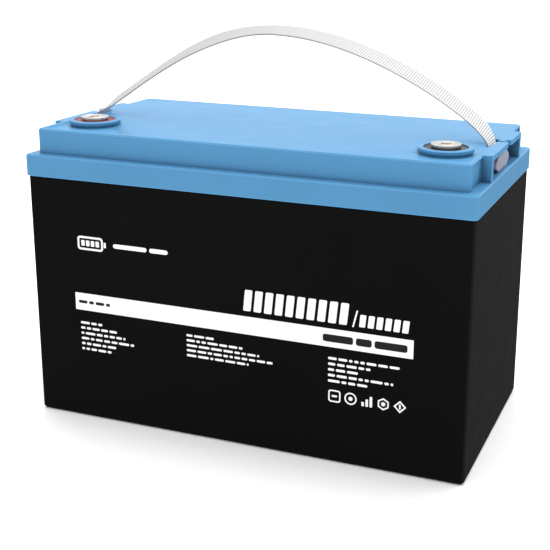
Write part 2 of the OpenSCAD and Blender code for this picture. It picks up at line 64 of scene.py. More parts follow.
# ---------------------------------------------------------------- camera
def make_camera():
    """A long lens to the right of the front face, a little above the lid."""
    azimuth, elevation, roll = math.radians(21.0), math.radians(15.5), math.radians(0.49)
    target = Vector((28.0, 0.0, 138.7)) * MM
    distance = 803.5 * MM
    back = Vector((
        math.sin(azimuth) * math.cos(elevation),
        -math.cos(azimuth) * math.cos(elevation),
        math.sin(elevation),
    ))
    right = Vector((math.cos(azimuth), math.sin(azimuth), 0.0))
    up = back.cross(right)
    rolled_right = math.cos(roll) * right + math.sin(roll) * up
    rolled_up = math.cos(roll) * up - math.sin(roll) * right
    data = bpy.data.cameras.new("camera")
    data.lens = 71.2
    data.sensor_width = 36.0
    data.shift_x = -0.08
    data.shift_y = -0.08
    data.clip_start = 0.01
    data.clip_end = 50.0
    camera = bpy.data.objects.new("camera", data)
    bpy.context.scene.collection.objects.link(camera)
    turn = Matrix((rolled_right, rolled_up, back)).transposed().to_4x4()
    camera.matrix_world = Matrix.Translation(target + back * distance) @ turn
    bpy.context.scene.camera = camera


# ---------------------------------------------------------------- material helpers
class Paint:
    """One node material, with short calls for the patterns that the surfaces share.

    Noise and cell scales are counts per metre, and bump depths are metres.
    """

    def __init__(self, name, base, roughness, metallic=0.0, **sockets):
        self.material = bpy.data.materials.new(name)
        self.material.use_nodes = True
        self.tree = self.material.node_tree
        self.shader = self.tree.nodes["Principled BSDF"]
        self.base = (*base, 1.0)
        self.material.diffuse_color = self.base
        self.shader.inputs["Base Color"].default_value = self.base
        self.shader.inputs["Roughness"].default_value = roughness
        self.shader.inputs["Metallic"].default_value = metallic
        for key, value in sockets.items():
            self.shader.inputs[key.replace("_", " ")].default_value = value
        self.normal = None
        self.place = self.node("ShaderNodeTexCoord").outputs["Object"]

    def link(self, source, target):
        self.tree.links.new(source, target)

    def node(self, kind, inputs=None, **properties):
        """A new node; inputs gives each named or numbered socket a value or another socket."""
        made = self.tree.nodes.new(kind)
        for key, value in properties.items():
            setattr(made, key, value)
        for key, value in (inputs or {}).items():
            if isinstance(value, bpy.types.NodeSocket):
                self.link(value, made.inputs[key])
            else:
                made.inputs[key].default_value = value
        return made

    def math(self, operation, a, b=None):
        inputs = {0: a} if b is None else {0: a, 1: b}
        return self.node("ShaderNodeMath", inputs, operation=operation).outputs[0]

    def waves(self, coordinate, pitch):
        """A sine along a coordinate, from -1 to 1."""
        return self.math("SINE", self.math("MULTIPLY", coordinate, 2 * math.pi / pitch))

    def stretched(self, scale):
        """Coordinates scaled by a different amount along each axis."""
        inputs = {"Scale": scale, "Vector": self.place}
        return self.node("ShaderNodeMapping", inputs).outputs[0]

    def noise(self, scale, detail=2.0, roughness=0.5, where=None):
        inputs = {"Scale": scale, "Detail": detail, "Roughness": roughness,
                  "Vector": where or self.place}
        return self.node("ShaderNodeTexNoise", inputs).outputs["Fac"]

    def cells(self, scale):
        inputs = {"Scale": scale, "Vector": self.place}
        return self.node("ShaderNodeTexVoronoi", inputs).outputs["Distance"]

    def attribute(self, name):
        return self.node("ShaderNodeAttribute", attribute_name=name).outputs["Vector"]

    def split(self, vector):
        return self.node("ShaderNodeSeparateXYZ", {0: vector}).outputs

    def ramp(self, value, start, end, low=0.0, high=1.0):
        """Runs from low, where value is at start, to high, where it is at end."""
        inputs = {"Value": value, "From Min": start, "From Max": end, "To Min": low,
                  "To Max": high}
        return self.node("ShaderNodeMapRange", inputs).outputs["Result"]

    def bump(self, height, depth):
        """Adds relief: height runs from 0 to 1 and depth is its size."""
        inputs = {"Strength": 1.0, "Distance": depth, "Height": height}
        if self.normal is not None:
            inputs["Normal"] = self.normal
        self.normal = self.node("ShaderNodeBump", inputs).outputs["Normal"]
        self.link(self.normal, self.shader.inputs["Normal"])

    def tint(self, value, colour, amount=1.0):
        """Mixes in a colour where value is high, on top of the earlier ones."""
        links = self.shader.inputs["Base Color"].links
        below = links[0].from_socket if links else self.base
        mix = self.node("ShaderNodeMix", {
            0: self.math("MULTIPLY", value, amount), 6: below, 7: (*colour, 1.0),
        }, data_type="RGBA")
        self.link(mix.outputs[2], self.shader.inputs["Base Color"])

    def shade(self, value, factor, amount=1.0):
        """Mixes in the base colour times factor where value is high."""
        colour = [min(1.0, channel * factor) for channel in self.base[:3]]
        self.tint(value, colour, amount)

    def mottle(self, scale, detail, start, end, factor, amount=1.0):
        """Shades the patches where noise rises from start to end."""
        self.shade(self.ramp(self.noise(scale, detail), start, end), factor, amount)

    def gloss(self, value, low, high, start=0.3, end=0.7):
        """Roughness from low, where value is at start, to high, where it is at end."""
        self.link(self.ramp(value, start, end, low, high), self.shader.inputs["Roughness"])

    def edges(self, radius):
        """1 where the surface turns sharply, 0 on flats."""
        sharp, flat = 0.80, 0.99
        bevel = self.node("ShaderNodeBevel", {"Radius": radius}, samples=4)
        plain = self.node("ShaderNodeNewGeometry").outputs["Normal"]
        dot = self.node("ShaderNodeVectorMath", {0: bevel.outputs[0], 1: plain},
                        operation="DOT_PRODUCT")
        return self.ramp(dot.outputs["Value"], sharp, flat, 1.0, 0.0)

    def crevices(self, reach, closed, open_from):
        """1 where the surroundings within reach close a point in, 0 where they leave it open."""
        near = self.node("ShaderNodeAmbientOcclusion", {"Distance": reach}, samples=8)
        return self.ramp(near.outputs["AO"], closed, open_from, 1.0, 0.0)

    def facing(self, axis, none_at, full_at):
        """How far the surface's normal points along an axis, from 0 to 1."""
        normal = self.node("ShaderNodeNewGeometry").outputs["Normal"]
        return self.ramp(self.split(normal)[axis], none_at, full_at)


# ---------------------------------------------------------------- materials
def lid_plastic():
    """Smooth moulding, with painted shade in its corners, on the slope of each recess that tilts to
    -X and on its low wall faces, and painted highlights on its edges.
    """
    paint = Paint("lid_blue", (0.086, 0.259, 0.461), 0.30, Specular_IOR_Level=0.045)
    paint.mottle(30.0, 2.0, 0.25, 0.75, factor=0.95)
    # Painted shade in tight corners and creases, where ambient occlusion finds surfaces close by
    paint.shade(paint.crevices(0.0025, closed=0.3, open_from=0.75), 0.30, 0.9)
    # Painted shade on the recess slopes that tilt towards -X, which face away from the light
    painted_slope_shade = paint.math("MULTIPLY", paint.facing(X, -0.015, -0.03), paint.facing(Z, 0.9, 0.98))
    paint.shade(painted_slope_shade, 0.80)
    # Painted shade on the lid's steep faces near other parts, where ambient occlusion finds them
    # closed in
    painted_wall_shade = paint.math("MULTIPLY", paint.crevices(0.035, closed=0.3, open_from=0.68),
                       paint.facing(Z, 0.9, 0.5))
    paint.shade(painted_wall_shade, 0.26, 0.9)
    # Painted highlights along the lid's sharp edges
    paint.shade(paint.edges(0.0011), 1.8, 0.65)
    paint.gloss(paint.noise(60.0), 0.27, 0.33, 0.2, 0.8)
    paint.bump(paint.noise(1900.0, 2.0, 0.6), 0.000018)
    paint.bump(paint.noise(20.0, 1.0), 0.00003)
    return paint.material


def case_plastic():
    """Fine grained moulding, with a painted reflection lightening its right side and painted
    highlights on its edges.
    """
    paint = Paint("case_black", (0.0045, 0.0045, 0.0046), 0.46, Specular_IOR_Level=0.055)
    paint.mottle(7.0, 3.0, 0.35, 0.7, factor=0.8)
    # Painted reflection: the side that faces +X is lighter than the front
    paint.shade(paint.facing(X, 0.5, 0.9), 2.3)
    # Painted highlights along the case's sharp edges
    paint.shade(paint.edges(0.0012), 2.6, 0.5)
    paint.gloss(paint.noise(45.0, 4.0), 0.42, 0.52)
    paint.bump(paint.cells(900.0), 0.000030)
    paint.bump(paint.noise(20.0, 1.0), 0.00005)
    return paint.material


def ink(name, colour):
    paint = Paint(name, colour, 0.5, Specular_IOR_Level=0.3)
    paint.mottle(2500.0, 1.0, 0.55, 0.8, factor=0.82)
    paint.gloss(paint.noise(300.0), 0.45, 0.58)
    paint.bump(paint.noise(1400.0, 2.0), 0.000012)
    return paint.material


def webbing():
    """Woven polypropylene: cords across the strap, with yarns that run along it. Its colour carries
    painted light and shade: dimmer on top, lighter on the sides that face +X, and darker in the
    hollows between cords and along both edges.
    """
    yarn_pitch = 0.00085
    selvedge_start, selvedge_end = 0.0102, 0.0108
    paint = Paint("strap_webbing", (0.43, 0.43, 0.44), 0.62, Specular_IOR_Level=0.35,
                  Sheen_Weight=0.25, Sheen_Roughness=0.4)
    # hollow holds the painted shade of the hollows between cords, stored with the strap
    across, hollow = paint.split(paint.attribute("weave"))[1:3]
    yarn = paint.waves(across, yarn_pitch)
    fibre = paint.noise(5200.0, 2.0, 0.6, paint.stretched((0.25, 1.0, 0.25)))
    painted_light_side = paint.facing(X, 0.15, 0.75)
    # Painted light: the sides that face +X are lighter than the dimmed top
    paint.shade(painted_light_side, 1.8)
    # Painted shade along both edges of the strap
    selvedge = paint.ramp(paint.math("ABSOLUTE", across), selvedge_start, selvedge_end)
    paint.shade(selvedge, 0.35, 0.8)
    # Painted shade in the hollows between the cords
    paint.shade(hollow, 0.35, 0.85)
    # Deeper painted shade in those hollows on the sides that face +X
    paint.shade(paint.math("MULTIPLY", hollow, painted_light_side), 0.05, 0.9)
    paint.shade(paint.ramp(yarn, 0.2, -1.0), 0.75, 0.30)
    paint.mottle(35.0, 2.0, 0.5, 0.8, factor=0.9, amount=0.5)
    paint.gloss(fibre, 0.52, 0.72)
    paint.bump(paint.ramp(yarn, -1.0, 1.0), 0.00007)
    paint.bump(fibre, 0.00005)
    return paint.material


def moulded(name, colour, roughness, grain=1600.0, **sockets):
    """Plain injection moulding: fine grain, faint mottle and painted highlights on its edges."""
    paint = Paint(name, colour, roughness, **sockets)
    paint.mottle(40.0, 3.0, 0.4, 0.75, factor=0.88)
    # Painted highlights along the sharp edges
    paint.shade(paint.edges(0.0005), 1.25, 0.4)
    paint.gloss(paint.noise(180.0, 3.0), roughness - 0.06, roughness + 0.08)
    paint.bump(paint.noise(grain, 2.0), 0.00003)
    return paint.material


def resin(name, colour):
    """Sealing compound poured round a post: glossy, with a slow wave in its surface."""
    paint = Paint(name, colour, 0.30, Specular_IOR_Level=0.12)
    paint.mottle(420.0, 3.0, 0.45, 0.75, factor=0.45)
    paint.gloss(paint.noise(260.0), 0.22, 0.45)
    paint.bump(paint.noise(230.0, 2.0), 0.0004)
    paint.bump(paint.noise(1500.0, 1.0), 0.00006)
    return paint.material


def turned_metal(name, colour, centre):
    """Tin over brass, with the rings that a lathe leaves round the post's axis."""
    ring_pitch = 0.00042
    paint = Paint(name, colour, 0.34, metallic=1.0)
    x, y = paint.split(paint.place)[:2]
    dx = paint.math("SUBTRACT", x, centre.x)
    dy = paint.math("SUBTRACT", y, centre.y)
    squares = paint.math("ADD", paint.math("MULTIPLY", dx, dx), paint.math("MULTIPLY", dy, dy))
    rings = paint.waves(paint.math("SQRT", squares), ring_pitch)
    scuff = paint.noise(700.0, 4.0, 0.65)
    paint.shade(paint.ramp(scuff, 0.5, 0.8), 0.62, 0.7)
    paint.gloss(paint.noise(520.0, 3.0), 0.26, 0.48)
    paint.bump(paint.ramp(rings, -1.0, 1.0), 0.000018)
    paint.bump(scuff, 0.00003)
    return paint.material


def metal(name, colour, roughness, brushed=(1.0, 1.0, 14.0), tarnish=0.3):
    """Rolled or plated metal with a brushed grain and faint staining."""
    paint = Paint(name, colour, roughness, metallic=1.0)
    grain = paint.noise(900.0, 3.0, 0.6, paint.stretched(brushed))
    paint.mottle(55.0, 4.0, 0.42, 0.72, factor=0.6, amount=tarnish)
    paint.gloss(grain, roughness - 0.08, roughness + 0.12)
    paint.bump(grain, 0.000025)
    return paint.material


def cell_film():
    """Blue shrink film over an aluminium can: glossy, drawn tight with long creases."""
    paint = Paint("cell_wrap", (0.018, 0.110, 0.340), 0.24, Specular_IOR_Level=0.55)
    creases = paint.noise(38.0, 4.0, 0.6, paint.stretched((1.0, 1.0, 0.16)))
    paint.shade(paint.ramp(creases, 0.45, 0.7), 1.35, 0.6)
    paint.gloss(paint.noise(90.0), 0.18, 0.32)
    paint.bump(creases, 0.0004)
    return paint.material


def glass_epoxy(name, colour):
    """Laminate board with its glass weave just visible under the surface."""
    thread_pitch = 0.0007
    paint = Paint(name, colour, 0.38, Specular_IOR_Level=0.5)
    threads = [paint.waves(axis, thread_pitch) for axis in paint.split(paint.place)]
    weave = paint.math("ADD", paint.math("MULTIPLY", threads[0], threads[1]), threads[2])
    paint.shade(paint.ramp(weave, -1.0, 1.5), 1.6, 0.35)
    paint.mottle(30.0, 3.0, 0.4, 0.7, factor=0.7, amount=0.5)
    paint.gloss(paint.noise(200.0), 0.3, 0.46)
    paint.bump(paint.ramp(weave, -1.5, 1.5), 0.00001)
    return paint.material


def circuit_board():
    """Green solder mask over copper tracks and pads."""
    paint = Paint("board_green", (0.010, 0.085, 0.028), 0.28, Specular_IOR_Level=0.55)
    tracks = paint.node("ShaderNodeTexBrick", {
        "Scale": 95.0, "Mortar Size": 0.035, "Brick Width": 1.7, "Vector": paint.place,
    }).outputs["Fac"]
    paint.tint(tracks, (0.030, 0.190, 0.070), 0.8)
    pads = paint.ramp(paint.cells(260.0), 0.10, 0.16, 1.0, 0.0)
    paint.tint(pads, (0.55, 0.55, 0.50), 0.8)
    paint.gloss(paint.noise(150.0), 0.22, 0.36)
    paint.bump(tracks, 0.00004)
    return paint.material


def silicone(name, colour):
    """Soft cable insulation: faint extrusion lines and a dusting of talc."""
    paint = Paint(name, colour, 0.48, Specular_IOR_Level=0.4)
    paint.mottle(120.0, 4.0, 0.5, 0.8, factor=1.5, amount=0.35)
    paint.gloss(paint.noise(300.0), 0.4, 0.6)
    paint.bump(paint.noise(1200.0, 2.0), 0.00003)
    return paint.material


def foam():
    """Closed-cell foam with its cut bubbles, and painted shade inside them."""
    paint = Paint("foam_dark", (0.030, 0.030, 0.032), 0.85, Specular_IOR_Level=0.2)
    bubbles = paint.cells(650.0)
    # Painted shade in the hollows of the cut bubbles
    paint.tint(paint.ramp(bubbles, 0.1, 0.45, 1.0, 0.0), (0.010, 0.010, 0.011), 0.8)
    paint.gloss(paint.noise(200.0), 0.78, 0.92)
    paint.bump(bubbles, 0.0004)
    return paint.material


def paper():
    """Hard insulating paper with short fibres."""
    paint = Paint("insulation_paper", (0.56, 0.44, 0.24), 0.72, Specular_IOR_Level=0.25)
    fibres = paint.noise(800.0, 4.0, 0.7, paint.stretched((1.0, 0.3, 1.0)))
    paint.tint(paint.ramp(fibres, 0.4, 0.7), (0.40, 0.30, 0.15), 0.6)
    paint.gloss(paint.noise(150.0), 0.66, 0.8)
    paint.bump(fibres, 0.00006)
    return paint.material


def terminal_centre(side):
    low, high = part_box("terminal_" + side)
    return (low + high) / 2


def make_materials():
    """Materials by the record's slot; each post has its own, and so has the dark print."""
    tin = (0.56, 0.54, 0.51)
    return {
        "lid_blue": lid_plastic(),
        "case_black": case_plastic(),
        "print_white": ink("print_white", (0.88, 0.88, 0.88)),
        "print_black": ink("print_black", (0.012, 0.012, 0.012)),
        "strap_webbing": webbing(),
        # The stops are white plastic; their grey-blue base colour is painted shade of the pocket
        # they stand in
        "stop_white": moulded("stop_white", (0.30, 0.31, 0.40), 0.42,
                              Specular_IOR_Level=0.2),
        "terminal_positive": turned_metal("terminal_tin", tin, terminal_centre("positive")),
        "terminal_negative": turned_metal("terminal_tin_b", tin, terminal_centre("negative")),
        "ring_red": resin("ring_red", (0.24, 0.036, 0.036)),
        "ring_black": resin("ring_black", (0.014, 0.012, 0.012)),
        "seal_grey": moulded("seal_grey", (0.05, 0.05, 0.05), 0.7),
        "seal_rubber": moulded("seal_rubber", (0.015, 0.015, 0.015), 0.6),
        "plated_steel": metal("plated_steel", (0.62, 0.62, 0.60), 0.34),
        "cell_wrap": cell_film(),
        "aluminium": metal("aluminium", (0.78, 0.79, 0.80), 0.36, (14.0, 1.0, 1.0), 0.15),
        "glass_epoxy": glass_epoxy("glass_epoxy", (0.10, 0.24, 0.11)),
        "band_steel": metal("band_steel", (0.58, 0.58, 0.58), 0.30, (1.0, 1.0, 20.0), 0.2),
        "insulation_paper": paper(),
        "copper": metal("copper", (0.78, 0.36, 0.20), 0.30, (1.0, 12.0, 1.0), 0.45),
        "lug_tin": metal("lug_tin", (0.72, 0.72, 0.70), 0.32, (1.0, 1.0, 1.0), 0.3),
        "cable_red": silicone("cable_red", (0.42, 0.018, 0.014)),
        "cable_black": silicone("cable_black", (0.014, 0.014, 0.014)),
        "nylon_white": moulded("nylon_white", (0.76, 0.75, 0.70), 0.4,
                               Subsurface_Weight=0.1, Subsurface_Scale=0.002),
        "board_green": circuit_board(),
        "chip_black": moulded("chip_black", (0.018, 0.018, 0.018), 0.55, 2400.0),
        "lead_yellow": silicone("lead_yellow", (0.62, 0.42, 0.03)),
        "foam_dark": foam(),
    }


# ---------------------------------------------------------------- CAD nodes
# Width in mm of the rounding on each node's sharp edges
ROUNDING = {
    "lid": 0.55, "case": 0.8, "strap_stop_left": 0.7, "strap_stop_right": 0.7,
    "terminal_positive": 0.18, "terminal_negative": 0.18,
    "terminal_ring_positive": 0.3, "terminal_ring_negative": 0.3,
    "cell_1": 0.8, "cell_2": 0.8, "cell_3": 0.8, "cell_4": 0.8,
    "end_plate_left": 0.2, "end_plate_right": 0.2, "bms_heat_sink": 0.2,
    "busbar_1_2": 0.3, "busbar_2_3": 0.3, "busbar_3_4": 0.3, "bms_tabs": 0.3,
    "foam_left": 1.0, "foam_right": 1.0, "balance_socket": 0.3, "balance_plug": 0.3,
    "terminal_nuts": 0.3, "cell_nuts": 0.2, "cable_lugs": 0.2, "bms_mosfets": 0.2,
    "bms_tray_screws": 0.25, "bms_board_screws": 0.2, "bms_tab_screws": 0.25,
    "terminal_lug_bolts": 0.25, "bms_standoffs": 0.2, "cell_posts": 0.2,
}
SWEPT = ("cable_positive", "cable_pack_negative", "cable_bms_negative",
         "balance_leads", "temperature_probe")
WELD_DISTANCE = 0.00001
FLAT_WITHIN = math.radians(0.6)
SHARP_FROM = math.radians(34.0)


def weld(obj):
    """Joins the faces of a CAD mesh."""
    obj.modifiers.new("weld", "WELD").merge_threshold = WELD_DISTANCE


def soften(obj, width):
    """Rounds the sharp edges a little and keeps the flats flat."""
    weld(obj)
    flatten = obj.modifiers.new("flatten", "DECIMATE")
    flatten.decimate_type = "DISSOLVE"
    flatten.angle_limit = FLAT_WITHIN
    bevel = obj.modifiers.new("bevel", "BEVEL")
    bevel.width = width
    bevel.segments = 3
    bevel.limit_method = "ANGLE"
    bevel.angle_limit = SHARP_FROM
    bevel.miter_outer = "MITER_ARC"
    bevel.use_clamp_overlap = True
    normals = obj.modifiers.new("normals", "WEIGHTED_NORMAL")
    normals.weight = 100
    normals.keep_sharp = True


def round_off(obj):
    """Turns a many-sided swept tube into a smooth one."""
    weld(obj)
    smooth = obj.modifiers.new("smooth", "SUBSURF")
    smooth.levels = 1
    smooth.render_levels = 1


def smooth_all(mesh):
    for polygon in mesh.polygons:
        polygon.use_smooth = True


def finish_cad_nodes(materials):
    slots = {part["node"]: part["material_slot"] for part in frame["record"]["subparts"]}
    for name, obj in NODES.items():
        material = materials[name] if name in materials else materials[slots[name]]
        for holder in obj.material_slots:
            holder.material = material
        if name in SWEPT:
            round_off(obj)
        elif name in ROUNDING:
            soften(obj, ROUNDING[name] * MM)
        smooth_all(obj.data)


# ---------------------------------------------------------------- mesh helpers
def outward(mesh):
    """Turns every face of a closed mesh to face out."""
    tool = bmesh.new()
    tool.from_mesh(mesh)
    bmesh.ops.recalc_face_normals(tool, faces=tool.faces)
    tool.to_mesh(mesh)
    tool.free()


def new_piece(name, mesh, material):
    obj = bpy.data.objects.new(name, mesh)
    bpy.context.scene.collection.objects.link(obj)
    mesh.materials.append(material)
    return obj


def tube_faces(rows, around):
    """Quads between neighbouring rows of points, and a cap on the first and the last row."""
    faces = []
    for i in range(rows - 1):
        for k in range(around):
            m = (k + 1) % around
            faces.append((i * around + k, i * around + m,
                          (i + 1) * around + m, (i + 1) * around + k))
    last = (rows - 1) * around
    faces.append(tuple(range(around))[::-1])
    faces.append(tuple(last + k for k in range(around)))
    return faces


# ---------------------------------------------------------------- printed front
PRINT_LOW, PRINT_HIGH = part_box("front_print")
INK_HALF_T = 0.00012
# The rest is in mm, with places measured from the print's lower left corner
SAME_POINT = 0.001
SHORTEST_WORD = 1.2
WORD_LENGTHS = (2.2, 8.5)
# Shares of a line's height
WORD_CORNER = 0.42
WORD_GAP = 0.75
# x, z, length and height, and the band's corner radius
BAND = (0.0, 40.5, 256.0, 13.0, 0.3)
BAND_WORDS = (2.8, 45.8, 26.0, 2.2)
# x and length of each dark bar on the band
BAND_BARS = ((193.0, 21.5), (216.5, 11.0), (229.5, 22.5))
BAND_BARS_Z, BAND_BARS_H, BAND_BARS_CORNER = 44.2, 5.2, 1.6
# Left edge, lowest line, line pitch, line lengths from the lowest up, line height
COLUMNS = (
    (3.5, 9.6, 4.05, (26, 30, 44, 37, 30, 20), 1.75),
    (90.3, 17.4, 3.75, (48, 66, 56, 44, 22), 1.65),
    (197.0, 15.4, 4.05, (28, 46, 22, 30, 50), 1.75),
)
GAUGE_Z = 57.6


class Print:
    """Flat ink shapes on the case's front."""

    def __init__(self, lift=0.0):
        self.mesh = bmesh.new()
        self.face_y = PRINT_HIGH.y - lift

    def shape(self, outline, hole=None):
        """A closed outline of (x, z) points, with an optional hole of as many points."""
        def ring(points, y):
            return [
                self.mesh.verts.new((PRINT_LOW.x + x * MM, y, PRINT_LOW.z + z * MM))
                for x, z in points
            ]
        front = ring(outline, self.face_y - INK_HALF_T)
        back = ring(outline, self.face_y + INK_HALF_T)
        n = len(outline)
        for i in range(n):
            j = (i + 1) % n
            self.mesh.faces.new((front[i], back[i], back[j], front[j]))
        if hole is None:
            self.mesh.faces.new(front)
            self.mesh.faces.new(back[::-1])
            return
        front_hole = ring(hole, self.face_y - INK_HALF_T)
        back_hole = ring(hole, self.face_y + INK_HALF_T)
        for i in range(n):
            j = (i + 1) % n
            self.mesh.faces.new((front[i], front[j], front_hole[j], front_hole[i]))
            self.mesh.faces.new((back[j], back[i], back_hole[i], back_hole[j]))
            self.mesh.faces.new((front_hole[i], front_hole[j], back_hole[j], back_hole[i]))

    def bar(self, x, z, length, height, radius=None, slant=0.0):
        """A bar with round corners; slant moves its top to the right."""
        radius = min(length, height) / 2 if radius is None else radius
        outline = [
            (px + slant * (pz - z) / height, pz)
            for px, pz in rounded(x, z, length, height, radius)
        ]
        self.shape(outline)

    def row(self, count, pitch, x, z, length, height, radius, slant=0.0):
        """Equal bars side by side."""
        for i in range(count):
            self.bar(x + pitch * i, z, length, height, radius, slant)

    def words(self, x, z, length, height, rng):
        """A line of placeholder words: plain round-ended bars."""
        end = x + length
        while x < end - SHORTEST_WORD:
            word = min(rng.uniform(*WORD_LENGTHS), end - x)
            self.bar(x, z, word, height, height * WORD_CORNER)
            x += word + height * WORD_GAP

    def finish(self, name, material):
        mesh = bpy.data.meshes.new(name)
        bmesh.ops.recalc_face_normals(self.mesh, faces=self.mesh.faces)
        self.mesh.to_mesh(mesh)
        self.mesh.free()
        sheet = new_piece(name, mesh, material)
        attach(sheet, ROOT)
        return sheet


def rounded(x, z, length, height, radius, steps=5):
    """Points of a rectangle with round corners, counter-clockwise from its lower right.

    Where two corners meet in a half circle, the point they share comes once.
    """
    left, right = x + radius, x + length - radius
    low, high = z + radius, z + height - radius
    points = []
    for cx, cz, start in ((right, low, -90), (right, high, 0), (left, high, 90), (left, low, 180)):
        for i in range(steps + 1):
            angle = math.radians(start + 90.0 * i / steps)
            point = (cx + radius * math.cos(angle), cz + radius * math.sin(angle))
            if not points or math.dist(point, points[-1]) > SAME_POINT:
                points.append(point)
    if math.dist(points[0], points[-1]) < SAME_POINT:
        points.pop()
    return points


def regular(centre, radius, sides, turn=0.0):
    cx, cz = centre
    angles = [math.radians(turn) + 2 * math.pi * i / sides for i in range(sides)]
    return [(cx + radius * math.cos(a), cz + radius * math.sin(a)) for a in angles]


def print_columns(white, rng):
    """Three blocks of small placeholder lines."""
    for x, z, pitch, lengths, height in COLUMNS:
        for i, length in enumerate(lengths):
            white.words(x, z + pitch * i, length, height, rng)


def print_gauge(white):
    """A level gauge of slanted blocks, a large one and a small one, and a stroke between."""
    white.row(10, pitch=7.75, x=134.5, z=GAUGE_Z, length=5.6, height=15.2, radius=0.9, slant=1.6)
    white.bar(x=213.6, z=GAUGE_Z - 0.8, length=1.1, height=12.0, radius=0.5, slant=3.0)
    white.row(6, pitch=5.9, x=218.4, z=GAUGE_Z, length=4.2, height=8.6, radius=0.7, slant=0.9)


def print_emblem(white):
    """A battery pictogram with its charge bars, and a plain rule beside it."""
    x, z, length, height, stroke = 4.2, 86.6, 21.0, 10.2, 1.5
    white.shape(rounded(x, z, length, height, 2.4),
                rounded(x + stroke, z + stroke, length - 2 * stroke, height - 2 * stroke, 1.2))
    white.bar(x + length + 0.6, z + 3.1, length=1.8, height=4.0, radius=0.6)
    white.row(4, pitch=3.95, x=x + 3.1, z=z + 3.0, length=2.8, height=height - 6.0, radius=0.5)
    for rule_x, rule_length in ((33.5, 27.0), (62.6, 14.6)):
        white.bar(rule_x, z=90.4, length=rule_length, height=3.2)


def print_icons(white):
    """Five plain pictograms: square, ring, bars, hexagon and diamond."""
    size, pitch, x, z, stroke = 8.8, 11.55, 197.4, 1.0, 1.0
    half = size / 2
    square, ring, bars, hexagon, diamond = (
        (x + half + pitch * i, z + half) for i in range(5))

    cx, cz = square
    white.shape(rounded(cx - half, cz - half, size, size, 1.8),
                rounded(cx - half + stroke, cz - half + stroke, size - 2 * stroke,
                        size - 2 * stroke, 0.9))
    white.bar(cx - 2.0, cz - 0.7, 4.0, 1.4)

    white.shape(regular(ring, half, 36), regular(ring, half - stroke, 36))
    white.shape(regular(ring, 1.5, 24))

    cx, cz = bars
    for i in range(3):
        white.bar(cx - half + 0.6 + 2.9 * i, cz - half + 0.6, 1.8, 3.0 + 2.3 * i, 0.5)

    white.shape(regular(hexagon, half, 6, 30), regular(hexagon, half - stroke * 1.1, 6, 30))
    white.shape(regular(hexagon, 1.6, 6, 30))

    cx, cz = diamond
    white.shape(regular(diamond, half, 4, 90), regular(diamond, half - stroke * 1.4, 4, 90))
    white.bar(cx - 0.6, cz - 1.8, 1.2, 3.6)


def make_print(materials):
    rng = random.Random(31)
    white = Print()
    white.bar(*BAND)
    print_columns(white, rng)
    print_gauge(white)
    print_emblem(white)
    print_icons(white)
    sheet = white.finish("front_graphics", materials["print_white"])
    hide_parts("front_print")
    black = Print(lift=INK_HALF_T)
    black.words(*BAND_WORDS, rng)
    for x, length in BAND_BARS:
        black.bar(x, BAND_BARS_Z, length, BAND_BARS_H, BAND_BARS_CORNER)
    black.finish("front_graphics_black", materials["print_black"])


# ---------------------------------------------------------------- strap
# Heights above the floor, lengths and widths in mm
TAIL_Z = 202.0
UPRIGHT_Z = 212.0
SWING_Z = 217.0
JOIN_Z = 227.0
CROWN_Z = 286.5
LEAN = math.radians(11.5)
TWIST = math.radians(11.0)
TWIST_REACH = 60.0
STRAP_HALF_W = 11.0
STRAP_HALF_T = 0.70
RIB_PITCH = 1.8
RIB_STEPS = 5
RIB_H = 0.20
RIB_ROUNDNESS = 0.8
EDGE_WAVE = 0.12
# The selvedge starts at this share of the half width, with ribs of this share of the height
SELVEDGE_FROM = 0.86
SELVEDGE_RIB = 0.35
SECTION_COLUMNS = 18
SECTION_SQUARENESS = 14
# A hollow between two ribs gets painted shade: its depth times the gain, less the offset
HOLLOW_GAIN = 1.35
HOLLOW_OFFSET = 0.30
# The bend starts at the slot's mouth, this share of the way up the root's curve
HALVES = {
    "left": (((-154.5, 208.0), (-154.5, 215.5), (-150.5, 219.6), (-137.5, 227.0)),
             ((-137.5, 227.0), (-96.7, 252.8), (-53.2, CROWN_Z), (0.0, CROWN_Z))),
    "right": (((154.5, 208.0), (154.5, 214.0), (149.7, 221.6), (144.3, 227.5)),
              ((144.3, 227.5), (138.4, 233.9), (72.4, CROWN_Z), (0.0, CROWN_Z))),
}


def bezier(points, t):
    a, b, c, d = (np.array(p) for p in points)
    return (1 - t) ** 3 * a + 3 * (1 - t) ** 2 * t * b + 3 * (1 - t) * t * t * c + t ** 3 * d


def strap_line(side):
    """Evenly spaced points from the crown to the tail, and how far each is from the crown."""
    arch_steps, root_steps = 300, 100
    root, arch = HALVES[side]
    dense = [bezier(arch, 1 - i / arch_steps) for i in range(arch_steps + 1)]
    dense += [bezier(root, 1 - i / root_steps) for i in range(1, root_steps + 1)]
    dense.append(np.array((root[0][0], TAIL_Z)))
    dense = np.array(dense)
    run = np.concatenate(([0.0], np.cumsum(np.linalg.norm(np.diff(dense, axis=0), axis=1))))
    distance = np.arange(0.0, run[-1], RIB_PITCH / RIB_STEPS)
    line = np.stack([np.interp(distance, run, dense[:, k]) for k in (0, 1)], axis=1)
    return line, distance


def ease(t):
    t = np.clip(t, 0.0, 1.0)
    return t * t * (3 - 2 * t)


def risen(z):
    """0 where the strap stands upright in its slot, 1 where it is clear of the lid."""
    return ease((z - UPRIGHT_Z) / (JOIN_Z - UPRIGHT_Z))


def leaning(points, line_z):
    """Turns each point about the swing axis by the lean that its place on the strap has."""
    angle = LEAN * risen(line_z)
    x, y, z = points.T
    z = z - SWING_Z
    return np.stack((x, y * np.cos(angle) - z * np.sin(angle),
                     SWING_Z + y * np.sin(angle) + z * np.cos(angle)), axis=1)


